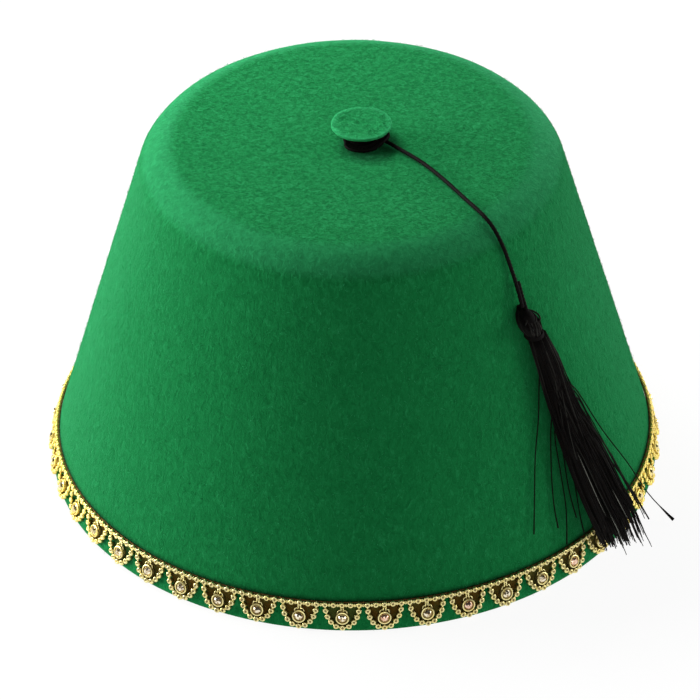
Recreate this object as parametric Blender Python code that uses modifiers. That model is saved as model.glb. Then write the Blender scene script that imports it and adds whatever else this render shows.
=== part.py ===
"""A felt fez: tapered crown, button, tassel on its cord, and a gilt scallop trim round the rim.

Metres, +Z up. The hat stands on its cut rim, centred on the Z axis, with its front towards -Y.
An azimuth is measured from +X, anticlockwise seen from above.
"""

import math

import bmesh
import bpy
from mathutils import Vector

MM = 0.001
GAP = 0.3 * MM  # kept between pieces that touch
WELD = 0.01 * MM  # points nearer than this are one point

# Crown: one thick felt cone, closed by a flat top with a rounded corner
RIM_RADIUS = 95.0 * MM
TOP_RADIUS = 62.2 * MM  # where the wall and the top would meet without the round
CROWN_HEIGHT = 113.9 * MM
FELT_THICKNESS = 2.6 * MM
CORNER_RADIUS = 12.8 * MM
CROWN_SIDES = 48
CORNER_STEPS = 5

# Button: a felt disc on a short stem, sewn a little off the middle
BUTTON_RADIUS = 9.3 * MM
BUTTON_THICKNESS = 1.8 * MM
BUTTON_EDGE = 0.6 * MM
BUTTON_OFFSET = 3.0 * MM
STEM_RADIUS = 3.5 * MM
BUTTON_SIDES = 24
EDGE_STEPS = 2

# Cord: wound round the stem, then over the top and down the wall to the tassel
CORD_DIAMETER = 1.3 * MM
WINDING_TURNS = 2
WINDING_STEPS = 4
CORD_POINT_SPACING = 3.6 * MM
CORD_ROUTE_MM = (
    (8.45, -1.2, 114.85),
    (10.8, -3.0, 114.85),
    (15.5, -7.9, 114.85),
    (20.9, -13.9, 114.85),
    (25.6, -20.5, 114.85),
    (29.8, -27.3, 114.85),
    (34.0, -34.4, 114.85),
    (38.0, -40.6, 114.5),
    (40.8, -43.9, 112.8),
    (43.0, -46.3, 109.9),
    (44.9, -47.6, 105.8),
    (46.2, -48.2, 101.9),
    (47.6, -49.1, 97.6),
    (49.0, -50.9, 93.2),
    (50.2, -53.0, 88.8),
)
TAIL_LENGTH = 7.5 * MM  # the cut end of the cord, which stands up beside it
TAIL_ASIDE = 1.9 * MM

# Tassel: threads folded over at the head, tied at the neck, hanging in locks
TASSEL_TOP = 88.0 * MM
TASSEL_AZIMUTH = math.radians(-46.1)
TASSEL_LEAN = math.radians(9.4)
HEAD_WIDTH = 7.2 * MM
HEAD_DEPTH = 7.0 * MM
HEAD_LENGTH = 9.5 * MM
SKIRT_WIDTH = 15.5 * MM
SKIRT_DEPTH = 8.6 * MM
SKIRT_LENGTH = 74.0 * MM
LOCKS = 8
LOCK_SHARE = 0.38  # a lock's own size as a share of the tassel's section
CORE_SHARE = 0.5
LOCK_SIDES = 6
LOCK_TIP_SHARE = 0.3
# A row for each section of the head: how far down it, its lean, its width and its depth
HEAD_SECTIONS = (
    (0.00, 0.00, 0.30, 0.30),
    (0.12, 0.00, 0.76, 0.76),
    (0.38, 0.00, 1.00, 1.00),
    (0.66, 0.04, 0.90, 0.90),
    (0.90, 0.10, 0.64, 0.66),
)
# A row for each section of the skirt: how far down it, its lean, width, depth, and how far out
# over the trim it hangs
SKIRT_SECTIONS = (
    (0.02, 0.16, 0.30, 0.54, 0.00),
    (0.12, 0.34, 0.48, 0.66, 0.00),
    (0.26, 0.44, 0.68, 0.80, 0.00),
    (0.40, 0.56, 0.84, 0.90, 0.00),
    (0.54, 0.70, 0.93, 0.96, 0.05),
    (0.74, 0.88, 1.02, 1.00, 0.35),
    (0.87, 1.00, 1.08, 1.00, 0.85),
    (1.00, 1.06, 1.04, 0.94, 1.20),
)
# Where each lock of the ring ends, as a share of the way down the skirt, and then the core
LOCK_ENDS = (0.97, 0.93, 1.00, 0.95, 0.90, 0.96, 0.99, 0.92, 0.96)

# Trim: a top line, swags hung from it, and in each swag a stone in a round setting on a stem
SWAG_COUNT = 46
FIRST_SWAG_AZIMUTH = math.radians(-92.6)
TRIM_LINE_WIDTH = 1.6 * MM
TRIM_THICKNESS = 1.5 * MM
TOP_LINE_UP = 8.8 * MM  # from the cut rim, along the wall
SWAG_DEPTH = 7.4 * MM
SWAG_GAP = 2.5 * MM  # between the ends of neighbouring swags
SWAG_STEPS = 6
LINE_EASE = 0.1 * MM  # the top line deepens by this at a swag, inside it, and at the stone's stem
STONE_STEM_WIDTH = 1.0 * MM
SETTING_UP = 4.6 * MM  # from the cut rim, along the wall
SETTING_RADIUS = 2.05 * MM
STONE_RADIUS = 1.4 * MM
TABLE_RADIUS = 0.8 * MM
STONE_HEIGHT = 0.7 * MM
STONE_SINK = 0.2 * MM
STONE_FACETS = 8

STEM_HEIGHT = WINDING_TURNS * CORD_DIAMETER + 2 * GAP
TAPER = math.atan2(RIM_RADIUS - TOP_RADIUS, CROWN_HEIGHT)
TRIM_STAND = GAP + TRIM_THICKNESS + STONE_HEIGHT


# Places on the outer skin of the wall

def wall_radius(height):
    return RIM_RADIUS - height * math.tan(TAPER)


def wall_outwards(azimuth):
    return Vector((math.cos(TAPER) * math.cos(azimuth), math.cos(TAPER) * math.sin(azimuth), math.sin(TAPER)))


def wall_sideways(azimuth):
    return Vector((-math.sin(azimuth), math.cos(azimuth), 0.0))


def on_wall(azimuth, height, lift):
    """The point at a height whose distance from the wall, square to it, is lift."""
    radius = wall_radius(height) + lift / math.cos(TAPER)
    return Vector((radius * math.cos(azimuth), radius * math.sin(azimuth), height))


# Collections, materials and objects

def clear_scene():
    for item in list(bpy.data.objects):
        bpy.data.objects.remove(item)


def new_collection(name):
    collection = bpy.data.collections.new(name)
    bpy.context.scene.collection.children.link(collection)
    return collection


def new_material(name, colour, roughness, metallic=0.0):
    material = bpy.data.materials.new(name)
    material.use_nodes = True
    shader = material.node_tree.nodes["Principled BSDF"]
    shader.inputs["Base Color"].default_value = (*colour, 1.0)
    shader.inputs["Roughness"].default_value = roughness
    shader.inputs["Metallic"].default_value = metallic
    material.diffuse_color = (*colour, 1.0)
    return material


def add_object(name, data, collection, material=None):
    item = bpy.data.objects.new(name, data)
    collection.objects.link(item)
    if material:
        data.materials.append(material)
    return item


def evaluated_mesh(item):
    """The object's mesh with its modifiers applied and its loose caps welded."""
    depsgraph = bpy.context.evaluated_depsgraph_get()
    mesh = bpy.data.meshes.new_from_object(item.evaluated_get(depsgraph))
    shape = bmesh.new()
    shape.from_mesh(mesh)
    bmesh.ops.remove_doubles(shape, verts=shape.verts, dist=WELD)
    shape.to_mesh(mesh)
    shape.free()
    return mesh


def smooth(mesh, sharp_degrees):
    mesh.shade_smooth()
    mesh.set_sharp_from_angle(angle=math.radians(sharp_degrees))


# Ways of making a shape

def turned(name, profile, sides, collection, material, ring=False):
    """A profile of (radius, height) rows, outer side first and top to bottom, turned round Z."""
    mesh = bpy.data.meshes.new(name)
    points = [(radius, 0.0, height) for radius, height in profile]
    edges = [(i, i + 1) for i in range(len(points) - 1)]
    if ring:
        edges.append((len(points) - 1, 0))
    mesh.from_pydata(points, edges, [])
    item = add_object(name, mesh, collection, material)
    screw = item.modifiers.new("turn", "SCREW")
    screw.axis = "Z"
    screw.angle = math.tau
    screw.steps = sides
    screw.render_steps = sides
    screw.use_merge_vertices = True
    screw.merge_threshold = WELD
    screw.use_smooth_shade = True
    return item


def tube(name, points, diameter, collection, material=None):
    """A poly curve with a round bevel and filled ends."""
    curve = bpy.data.curves.new(name, "CURVE")
    curve.dimensions = "3D"
    curve.use_fill_caps = True
    curve.bevel_depth = diameter / 2
    curve.bevel_resolution = 2
    spline = curve.splines.new("POLY")
    spline.points.add(len(points) - 1)
    for spline_point, point in zip(spline.points, points):
        spline_point.co = (*point, 1.0)
    return add_object(name, curve, collection, material)


def flat_plate(name, outlines, thickness, collection):
    """Closed outlines in XY, the first round the others, filled and given a thickness about Z = 0."""
    curve = bpy.data.curves.new(name, "CURVE")
    curve.dimensions = "2D"
    curve.fill_mode = "BOTH"
    curve.extrude = thickness / 2
    for outline in outlines:
        spline = curve.splines.new("POLY")
        spline.points.add(len(outline) - 1)
        spline.use_cyclic_u = True
        for spline_point, (x, y) in zip(spline.points, outline):
            spline_point.co = (x, y, 0.0, 1.0)
    return add_object(name, curve, collection)


def meshed(item, collection):
    """The same shape as a mesh object, in place of the curve."""
    mesh_item = add_object(item.name + "_mesh", evaluated_mesh(item), collection)
    mesh_item.matrix_world = item.matrix_world
    bpy.data.objects.remove(item)
    return mesh_item


def lofted(name, rings, collection):
    """Rings with as many points each, joined one after another and closed by a face at each end."""
    shape = bmesh.new()
    rows = [[shape.verts.new(point) for point in ring] for ring in rings]
    sides = len(rows[0])
    for upper, lower in zip(rows, rows[1:]):
        for i in range(sides):
            j = (i + 1) % sides
            shape.faces.new((upper[i], upper[j], lower[j], lower[i]))
    shape.faces.new(rows[0])
    shape.faces.new(rows[-1])
    bmesh.ops.recalc_face_normals(shape, faces=shape.faces)
    mesh = bpy.data.meshes.new(name)
    shape.to_mesh(mesh)
    shape.free()
    return add_object(name, mesh, collection)


def united(name, first, others, parts, makings, material):
    """The union of the first shape with the others, which stay in a collection of their own."""
    union_collection = bpy.data.collections.new(name + "_joined")
    makings.children.link(union_collection)
    for other in others:
        makings.objects.unlink(other)
        union_collection.objects.link(other)
    item = add_object(name, first.data.copy(), parts, material)
    union = item.modifiers.new("unite", "BOOLEAN")
    union.operation = "UNION"
    union.operand_type = "COLLECTION"
    union.collection = union_collection
    union.solver = "EXACT"
    bpy.data.objects.remove(first)
    return item


# Crown

def corner_arc(corner_radius, height, fillet):
    """The arc from the flat top round to the wall, as (radius, height) rows."""
    turn = math.pi / 2 - TAPER
    centre_radius = corner_radius - fillet * math.tan(turn / 2)
    centre_height = height - fillet
    rows = []
    for step in range(CORNER_STEPS + 1):
        angle = turn * step / CORNER_STEPS
        rows.append((centre_radius + fillet * math.sin(angle), centre_height + fillet * math.cos(angle)))
    return rows


def make_crown(parts, material):
    across = FELT_THICKNESS / math.cos(TAPER)
    inner_height = CROWN_HEIGHT - FELT_THICKNESS
    inner_top_radius = wall_radius(inner_height) - across
    inner_fillet = max(CORNER_RADIUS - FELT_THICKNESS, FELT_THICKNESS / 2)
    outside = [(0.0, CROWN_HEIGHT)] + corner_arc(TOP_RADIUS, CROWN_HEIGHT, CORNER_RADIUS) + [(RIM_RADIUS, 0.0)]
    inside = [(0.0, inner_height)] + corner_arc(inner_top_radius, inner_height, inner_fillet)
    inside.append((RIM_RADIUS - across, 0.0))
    return turned("crown", outside + inside[::-1], CROWN_SIDES, parts, material)


# Button and the cord wound round its stem

def make_button(parts, material):
    underside = STEM_HEIGHT
    top = underside + BUTTON_THICKNESS
    profile = [(0.0, top)]
    for corner_height, first_angle in ((top - BUTTON_EDGE, math.pi / 2), (underside + BUTTON_EDGE, 0.0)):
        for step in range(EDGE_STEPS + 1):
            angle = first_angle - math.pi / 2 * step / EDGE_STEPS
            radius = BUTTON_RADIUS - BUTTON_EDGE + BUTTON_EDGE * math.cos(angle)
            profile.append((radius, corner_height + BUTTON_EDGE * math.sin(angle)))
    profile += [(STEM_RADIUS, underside), (STEM_RADIUS, 0.0), (0.0, 0.0)]
    button = turned("button", profile, BUTTON_SIDES, parts, material)
    button.location = (BUTTON_OFFSET, 0.0, CROWN_HEIGHT + GAP)
    return button


def make_cord_winding(parts, material):
    """Turns of cord on one another, round outside and flat against the stem."""
    inner_radius = STEM_RADIUS + GAP
    cord_radius = CORD_DIAMETER / 2
    top = WINDING_TURNS * CORD_DIAMETER
    profile = [(inner_radius, top)]
    for turn in range(WINDING_TURNS):
        middle = top - cord_radius - turn * CORD_DIAMETER
        for step in range(WINDING_STEPS + 1):
            angle = math.pi / 2 - math.pi * step / WINDING_STEPS
            if turn == 0 or step > 0:
                radius = inner_radius + cord_radius + cord_radius * math.cos(angle)
                profile.append((radius, middle + cord_radius * math.sin(angle)))
    profile.append((inner_radius, 0.0))
    winding = turned("cord_winding", profile, BUTTON_SIDES, parts, material, ring=True)
    winding.location = (BUTTON_OFFSET, 0.0, CROWN_HEIGHT + GAP)
    return winding


# Cord

def through(points, before, start, end, after, share):
    """A point on the smooth curve from start to end, which also heeds the points on either side."""
    a, b, c, d = (points[i] for i in (before, start, end, after))
    bend = 2 * a - 5 * b + 4 * c - d
    twist = 3 * b - a - 3 * c + d
    return 0.5 * (2 * b + (c - a) * share + bend * share ** 2 + twist * share ** 3)


def smooth_route(route, spacing):
    """Points about as far apart as spacing on a smooth curve through the route's own points."""
    last = len(route) - 1
    points = []
    for i in range(last):
        steps = max(1, round((route[i + 1] - route[i]).length / spacing))
        for step in range(steps):
            points.append(through(route, max(i - 1, 0), i, i + 1, min(i + 2, last), step / steps))
    points.append(route[last])
    return points


def make_tassel_cord(parts, material):
    route = [Vector(point) * MM for point in CORD_ROUTE_MM]
    cord = tube("tassel_cord", smooth_route(route, CORD_POINT_SPACING), CORD_DIAMETER, parts, material)
    cord.data.splines[0].use_smooth = True
    return cord


# Tassel

def tassel_section(length_down, lean, half_width, half_depth, out):
    """Centre of a section, with its sideways and outward half sizes as vectors."""
    azimuth = TASSEL_AZIMUTH + TASSEL_LEAN * lean
    lift = GAP + half_depth + TRIM_STAND * out
    centre = on_wall(azimuth, TASSEL_TOP - length_down, lift)
    return centre, wall_sideways(azimuth) * half_width, wall_outwards(azimuth) * half_depth


def tassel_sections(skirt_share):
    """The sections from the top of the head to a share of the way down the skirt."""
    rows = []
    for down, lean, width, depth in HEAD_SECTIONS:
        rows.append(tassel_section(down * HEAD_LENGTH, lean, width * HEAD_WIDTH / 2, depth * HEAD_DEPTH / 2, 0.0))
    for down, lean, width, depth, out in SKIRT_SECTIONS:
        length_down = HEAD_LENGTH + down * skirt_share * SKIRT_LENGTH
        rows.append(tassel_section(length_down, lean, width * SKIRT_WIDTH / 2, depth * SKIRT_DEPTH / 2, out))
    return rows


def make_lock(name, angle, off_centre, share, end, makings):
    """One lock of threads, running inside the tassel's sections from the head to its own tip."""
    sections = tassel_sections(end)
    rings = []
    for row, (centre, sideways, outward) in enumerate(sections):
        tip = LOCK_TIP_SHARE if row == len(sections) - 1 else 1.0
        middle = centre + off_centre * (sideways * math.cos(angle) + outward * math.sin(angle))
        ring = []
        for side in range(LOCK_SIDES):
            turn = math.tau * (side + 0.5) / LOCK_SIDES
            ring.append(middle + share * tip * (sideways * math.cos(turn) + outward * math.sin(turn)))
        rings.append(ring)
    return lofted(name, rings, makings)


def make_cord_tail(makings):
    """The cord's cut end, from inside the head up beside the cord."""
    foot = on_wall(TASSEL_AZIMUTH, TASSEL_TOP - HEAD_LENGTH / 4, GAP + HEAD_DEPTH / 2)
    aside = wall_sideways(TASSEL_AZIMUTH) * TAIL_ASIDE
    out_at_top = GAP + CORD_DIAMETER
    top = on_wall(TASSEL_AZIMUTH, TASSEL_TOP + TAIL_LENGTH, out_at_top)
    middle = on_wall(TASSEL_AZIMUTH, TASSEL_TOP + TAIL_LENGTH / 3, (out_at_top + GAP + HEAD_DEPTH / 2) / 2)
    points = smooth_route([foot + aside / 2, middle + aside, top + aside], CORD_POINT_SPACING)
    return meshed(tube("cord_tail", points, CORD_DIAMETER, makings), makings)


def make_tassel(parts, makings, material):
    core = make_lock("tassel_core", 0.0, 0.0, CORE_SHARE, LOCK_ENDS[LOCKS], makings)
    others = [make_cord_tail(makings)]
    for i in range(LOCKS):
        angle = math.tau * (i + 0.5) / LOCKS
        others.append(make_lock(f"tassel_lock_{i}", angle, 1 - LOCK_SHARE, LOCK_SHARE, LOCK_ENDS[i], makings))
    return united("tassel", core, others, parts, makings, material)


# Trim

def half_ellipse(half_width, depth, start_down):
    """A half ellipse hung from the top line, from right to left, without its first stretch down."""
    first = math.asin(start_down / depth)
    rows = []
    for step in range(SWAG_STEPS + 1):
        angle = first + (math.pi - 2 * first) * step / SWAG_STEPS
        rows.append((half_width * math.cos(angle), TOP_LINE_UP - depth * math.sin(angle)))
    return rows


def unit_outlines(pitch):
    """One repeat in the flat: its outline, and the hole that leaves the setting on its stem."""
    half_line = TRIM_LINE_WIDTH / 2
    half_swag = (pitch - SWAG_GAP) / 2
    half_stem = STONE_STEM_WIDTH / 2
    line_top = TOP_LINE_UP + half_line
    line_foot = TOP_LINE_UP - half_line
    crotch = line_foot + 2 * LINE_EASE
    outline = [(-pitch / 2, crotch), (-pitch / 2, line_top), (0.0, line_top + LINE_EASE)]
    outline += [(pitch / 2, line_top), (pitch / 2, crotch)]
    outline += half_ellipse(half_swag + half_line, SWAG_DEPTH + half_line, half_line - LINE_EASE)
    setting_top = SETTING_UP + SETTING_RADIUS * math.cos(math.pi / STONE_FACETS)
    hole = half_ellipse(half_swag - half_line, SWAG_DEPTH - half_line, half_line)
    hole += [(-half_stem, line_foot - LINE_EASE), (-half_stem, setting_top)]
    for corner in range(STONE_FACETS):
        angle = math.pi / 2 + math.tau * (corner + 0.5) / STONE_FACETS
        hole.append((SETTING_RADIUS * math.cos(angle), SETTING_UP + SETTING_RADIUS * math.sin(angle)))
    hole += [(half_stem, setting_top), (half_stem, line_foot - LINE_EASE)]
    return [outline, hole]


def make_stone(makings):
    """A cut stone: a ring of facets from below the setting's face up to the table."""
    spread = (STONE_RADIUS - TABLE_RADIUS) / STONE_HEIGHT * STONE_SINK
    face = TRIM_THICKNESS / 2
    rings = []
    for radius, out in ((STONE_RADIUS + spread, face - STONE_SINK), (TABLE_RADIUS, face + STONE_HEIGHT)):
        turns = [math.tau * (i + 0.5) / STONE_FACETS for i in range(STONE_FACETS)]
        rings.append([(radius * math.cos(a), SETTING_UP + radius * math.sin(a), out) for a in turns])
    return lofted("stone", rings, makings)


def flat_unit(pitch, makings):
    """One repeat of the trim laid flat about Z = 0, with its top line cut square at both ends."""
    plate = meshed(flat_plate("trim_plate", unit_outlines(pitch), TRIM_THICKNESS, makings), makings)
    unit = united("trim_unit", plate, [make_stone(makings)], makings, makings, None)
    mesh = evaluated_mesh(unit)
    bpy.data.objects.remove(unit)
    return mesh


def wrap(point, pitch, azimuth):
    """A point of the flat trim bent round the wall: up runs from the cut rim, along the wall."""
    across, up, out = point
    turned_by = azimuth + across / pitch * math.tau / SWAG_COUNT
    off_wall = GAP + TRIM_THICKNESS / 2 + out
    return on_wall(turned_by, up * math.cos(TAPER), 0.0) + wall_outwards(turned_by) * off_wall


def make_gold_trim(parts, makings, material):
    line_radius = wall_radius(TOP_LINE_UP * math.cos(TAPER))
    pitch = math.tau * line_radius / SWAG_COUNT
    unit = bmesh.new()
    unit.from_mesh(flat_unit(pitch, makings))
    ends = [face for face in unit.faces if abs(face.calc_center_median().x) > pitch / 2 - WELD]
    bmesh.ops.delete(unit, geom=ends, context="FACES_ONLY")
    on_an_edge = [v for v in unit.verts if len(v.link_edges) == 2]
    bmesh.ops.dissolve_verts(unit, verts=on_an_edge)
    bmesh.ops.triangulate(unit, faces=unit.faces)
    points = [vertex.co.copy() for vertex in unit.verts]
    faces = [[vertex.index for vertex in face.verts] for face in unit.faces]
    unit.free()
    trim = bmesh.new()
    for copy in range(SWAG_COUNT):
        azimuth = FIRST_SWAG_AZIMUTH + math.tau * copy / SWAG_COUNT
        verts = [trim.verts.new(wrap(point, pitch, azimuth)) for point in points]
        for face in faces:
            trim.faces.new([verts[i] for i in face])
    bmesh.ops.remove_doubles(trim, verts=trim.verts, dist=WELD)
    bmesh.ops.recalc_face_normals(trim, faces=trim.faces)
    mesh = bpy.data.meshes.new("gold_trim")
    trim.to_mesh(mesh)
    trim.free()
    smooth(mesh, 40)
    return add_object("gold_trim", mesh, parts, material)


def main():
    clear_scene()
    parts = new_collection("fez_hat")
    makings = new_collection("cutters")
    felt = new_material("green_felt", (0.012, 0.16, 0.055), 0.95)
    cord = new_material("black_cord", (0.006, 0.005, 0.005), 0.6)
    gilt = new_material("gilt_trim", (0.72, 0.52, 0.22), 0.3, 1.0)
    make_crown(parts, felt)
    make_button(parts, felt)
    make_cord_winding(parts, cord)
    make_tassel_cord(parts, cord)
    make_tassel(parts, makings, cord)
    make_gold_trim(parts, makings, gilt)
    for item in makings.all_objects:
        item.hide_render = True
        item.display_type = "WIRE"


main()
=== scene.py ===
"""Dresses the frame of a felt fez and sets it on a pale floor in soft studio light.

Everything is in metres in the frame's own axes, with +Z up and the hat's front towards -Y.
An azimuth is measured from +X, anticlockwise seen from above. A lift is a distance square to the wall.
"""

import math
import random
from contextlib import contextmanager

import bmesh
import bpy
from mathutils import Matrix, Vector


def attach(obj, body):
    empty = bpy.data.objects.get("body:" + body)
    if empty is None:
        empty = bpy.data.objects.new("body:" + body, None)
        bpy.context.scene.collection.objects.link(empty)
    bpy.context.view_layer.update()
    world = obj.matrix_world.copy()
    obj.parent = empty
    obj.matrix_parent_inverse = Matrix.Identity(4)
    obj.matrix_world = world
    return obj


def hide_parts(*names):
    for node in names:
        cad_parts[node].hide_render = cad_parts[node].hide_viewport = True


bl_info = {
    "name": "Felt Fez",
    "version": (1, 0, 0),
    "blender": (4, 5, 0),
    "location": "View3D > Sidebar > Fez",
    "description": "Felt, cord, tassel and gilt trim for the frame of a fez",
    "category": "Object",
}

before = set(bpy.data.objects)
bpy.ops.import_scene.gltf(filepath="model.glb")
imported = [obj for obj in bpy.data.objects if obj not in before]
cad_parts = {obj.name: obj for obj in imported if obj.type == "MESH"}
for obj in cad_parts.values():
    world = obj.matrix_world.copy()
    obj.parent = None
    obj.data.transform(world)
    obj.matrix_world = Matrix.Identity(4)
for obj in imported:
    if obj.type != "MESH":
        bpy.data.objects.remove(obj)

MM = 0.001
UP = Vector((0.0, 0.0, 1.0))

# Crown, as the frame has it
RIM_RADIUS = 95.0 * MM
TOP_RADIUS = 62.2 * MM
CROWN_HEIGHT = 113.9 * MM
FELT_THICKNESS = 2.6 * MM
CORNER_RADIUS = 12.8 * MM
TAPER = math.atan2(RIM_RADIUS - TOP_RADIUS, CROWN_HEIGHT)
CORNER_INSET = CORNER_RADIUS * math.tan((math.pi / 2 - TAPER) / 2)
TOP_RING_WIDTH = 7.5 * MM
WALL_RING_HEIGHT = 8.5 * MM
GAP = 0.3 * MM

# Button and the cord round its stem, as the frame has them
BUTTON_RADIUS = 9.3 * MM
BUTTON_THICKNESS = 0.9 * MM
BUTTON_TOP = 120.0 * MM
BUTTON_TILT = math.radians(0.8)
BUTTON_OFFSET = 3.0 * MM
STEM_RADIUS = 3.5 * MM
STEM_HEIGHT = BUTTON_TOP - BUTTON_THICKNESS - CROWN_HEIGHT
BUTTON_FIBRES = 700
CORD_DIAMETER = 1.3 * MM
CORD_STEP = 0.35 * MM
WINDING_TURNS = 2
WINDING_STEPS = 120
WINDING_LEAVES_AT = math.radians(24.7)
# Shares of the winding's way at which the upper turn starts to go down, and how long it takes
WINDING_FALL_AT = 0.42
WINDING_FALL = 0.2

# Free cord from the winding to the tassel, in millimetres
CORD_ROUTE_MM = (
    (8.45, -1.2, 114.85),
    (10.8, -3.0, 114.85),
    (15.5, -7.9, 114.85),
    (20.9, -13.9, 114.85),
    (25.6, -20.5, 114.85),
    (29.8, -27.3, 114.85),
    (34.0, -34.4, 114.85),
    (38.0, -40.6, 114.5),
    (40.8, -43.9, 112.8),
    (43.0, -46.3, 109.9),
    (44.9, -47.6, 105.8),
    (46.2, -48.2, 101.9),
    (47.6, -49.1, 97.6),
    (49.0, -50.9, 93.2),
    (50.2, -53.0, 88.8),
)
# Slack turns of the cord outside the tight ones, in millimetres: partly cord, and partly a painted shadow,
# black cord laid where the felt under the button is in shade
LOOSE_TURNS_MM = (
    (1.6, 4.3, 115.2),
    (5.2, 4.6, 115.2),
    (8.2, 3.0, 115.4),
    (9.5, 0.6, 115.8),
    (9.7, -1.9, 116.4),
    (8.4, -4.0, 116.2),
    (5.8, -5.5, 115.2),
    (3.0, -5.95, 114.85),
    (0.2, -5.4, 114.85),
    (-1.6, -3.2, 114.9),
    (-2.1, 0.4, 115.0),
    (-0.9, 3.6, 115.3),
    (2.2, 5.6, 115.4),
    (6.4, 5.3, 115.4),
    (9.3, 3.1, 115.6),
    (10.6, 0.5, 116.0),
    (10.9, -2.1, 116.4),
    (9.6, -4.4, 116.3),
    (7.2, -6.3, 115.2),
    (5.1, -7.2, 114.85),
    (2.8, -7.4, 114.85),
    (0.6, -7.0, 114.85),
    (-1.2, -5.7, 114.85),
    (-2.0, -3.4, 114.85),
)

# Tassel, as the frame has it
TASSEL_TOP = 88.0 * MM
TASSEL_AZIMUTH = math.radians(-46.1)
TASSEL_LEAN = math.radians(9.4)
HEAD_WIDTH = 7.2 * MM
HEAD_DEPTH = 7.0 * MM
HEAD_LENGTH = 9.5 * MM
SKIRT_WIDTH = 15.5 * MM
SKIRT_DEPTH = 8.6 * MM
SKIRT_LENGTH = 74.0 * MM
TAIL_LENGTH = 7.5 * MM
TAIL_ASIDE = 1.4 * MM
# Least lift of a thread, and the height below which it also hangs over the trim, after a short rise
THREAD_LIFT = 0.35 * MM
OVER_TRIM_FROM = 13.0 * MM
OVER_TRIM_RISE = 3.0 * MM
# A row for each section of the head: how far down it, its lean, its width and its depth
HEAD_SECTIONS = (
    (0.00, 0.05, 0.14, 0.14),
    (0.11, 0.06, 0.28, 0.28),
    (0.24, 0.03, 0.70, 0.66),
    (0.40, 0.03, 0.90, 0.92),
    (0.62, 0.08, 0.86, 0.86),
    (0.90, 0.18, 0.70, 0.70),
)
# A row for each section of the skirt: how far down it, its lean, width, depth, and how far out it hangs
SKIRT_SECTIONS = (
    (0.00, 0.26, 0.40, 0.58, 0.00),
    (0.12, 0.39, 0.59, 0.68, 0.00),
    (0.26, 0.44, 0.74, 0.80, 0.00),
    (0.40, 0.56, 0.89, 0.90, 0.00),
    (0.54, 0.70, 0.93, 0.96, 0.05),
    (0.74, 0.88, 1.02, 1.00, 0.35),
    (0.87, 1.00, 1.08, 1.00, 0.85),
    (1.00, 1.06, 1.04, 0.94, 1.20),
)
LOCKS = 44
WISPS = 36
LOCK_THREADS_SHARE = 0.86
HEAD_THREADS = 90
THREAD_STEPS = 12
# Shares of the skirt's length by which its threads have gathered into locks, and from which the locks flare
GATHERED_BY = 0.62
FLARE_FROM = 0.55
SKIRT_CORE_LENGTH = 0.80
# A row for each slack loop at the head's top: its angle, reach, spread, and how far down the head it is
HEAD_LOOPS = (
    (0.35, 1.40, 0.5, 0.30),
    (0.90, 1.30, 0.7, 0.24),
    (-0.30, 1.25, 0.5, 0.40),
    (2.20, 1.20, 0.5, 0.26),
)
# Stray threads, each by the azimuth in degrees, height and lift in millimetres of its points
STRAY_THREADS = (
    ((-45.3, 62.0, 1.5), (-47.1, 52.6, 1.2), (-49.7, 42.2, 1.0), (-51.6, 31.5, 1.0), (-53.6, 19.1, 1.2)),
    ((-44.7, 47.0, 1.5), (-46.7, 34.1, 1.2), (-47.6, 24.5, 1.1), (-47.8, 17.3, 1.3)),
    ((-44.0, 44.0, 1.5), (-44.3, 32.4, 1.2), (-45.0, 21.3, 1.4), (-47.4, 12.4, 3.0)),
    ((-42.6, 39.0, 1.5), (-43.2, 26.7, 1.4), (-43.1, 17.4, 1.8)),
    ((-41.0, 33.5, 1.5), (-42.0, 18.9, 1.8), (-42.7, 12.4, 3.0)),
    ((-34.2, 51.0, 1.5), (-31.5, 37.2, 1.4), (-28.9, 23.3, 1.8), (-26.7, 13.0, 3.4), (-26.9, 3.3, 7.0)),
    ((-33.2, 39.5, 1.6), (-29.9, 23.0, 1.8), (-28.9, 14.0, 3.2), (-29.9, 7.0, 5.0)),
    ((-34.4, 49.1, 2.2), (-32.3, 36.9, 2.0), (-30.7, 26.2, 2.2), (-29.1, 17.0, 2.6)),
    ((-34.4, 45.8, 2.4), (-32.3, 34.2, 2.2), (-30.6, 24.0, 2.4), (-28.7, 14.7, 3.4), (-28.2, 9.4, 4.4)),
    ((-33.8, 41.3, 2.4), (-31.7, 30.9, 2.2), (-29.9, 20.4, 2.6), (-29.2, 12.6, 4.2), (-28.8, 5.8, 5.6)),
)
# Threads on the tassel's face that catch the light, painted grey as a highlight: the angle of each, and where
# it starts and ends
BRIGHT_THREADS = (
    (2.24, 0.50, 0.80),
    (2.05, 0.80, 0.96),
    (1.40, 0.72, 0.86),
)
# A stray thread whose end is clumped, as the others are given
CLUMPED_THREAD = (
    (-34.4, 53.2, 1.5),
    (-29.1, 35.1, 1.4),
    (-24.6, 19.5, 2.6),
    (-22.6, 7.4, 4.6),
    (-23.4, 3.0, 9.3),
    (-24.0, 1.3, 12.2),
)

# Trim, as the frame has it
SWAG_COUNT = 46
FIRST_SWAG_AZIMUTH = math.radians(-92.6)
TRIM_THICKNESS = 1.5 * MM
STONE_HEIGHT = 0.7 * MM
TOP_LINE_UP = 8.8 * MM
SWAG_DEPTH = 7.4 * MM
SWAG_GAP = 2.5 * MM
BEAD_DEPTH = 1.3 * MM
LINK_DEPTH = 0.8 * MM
SETTING_UP = 4.6 * MM
SETTING_RADIUS = 2.05 * MM
STONE_RADIUS = 1.4 * MM
TRIM_STAND = GAP + TRIM_THICKNESS + STONE_HEIGHT
LINE_RADIUS = RIM_RADIUS - TOP_LINE_UP * math.sin(TAPER)
PITCH = math.tau * LINE_RADIUS / SWAG_COUNT
SWAG_WIDTH = PITCH - SWAG_GAP
TOP_LINE_BEADS = 5
SWAG_BEADS = 9
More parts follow.
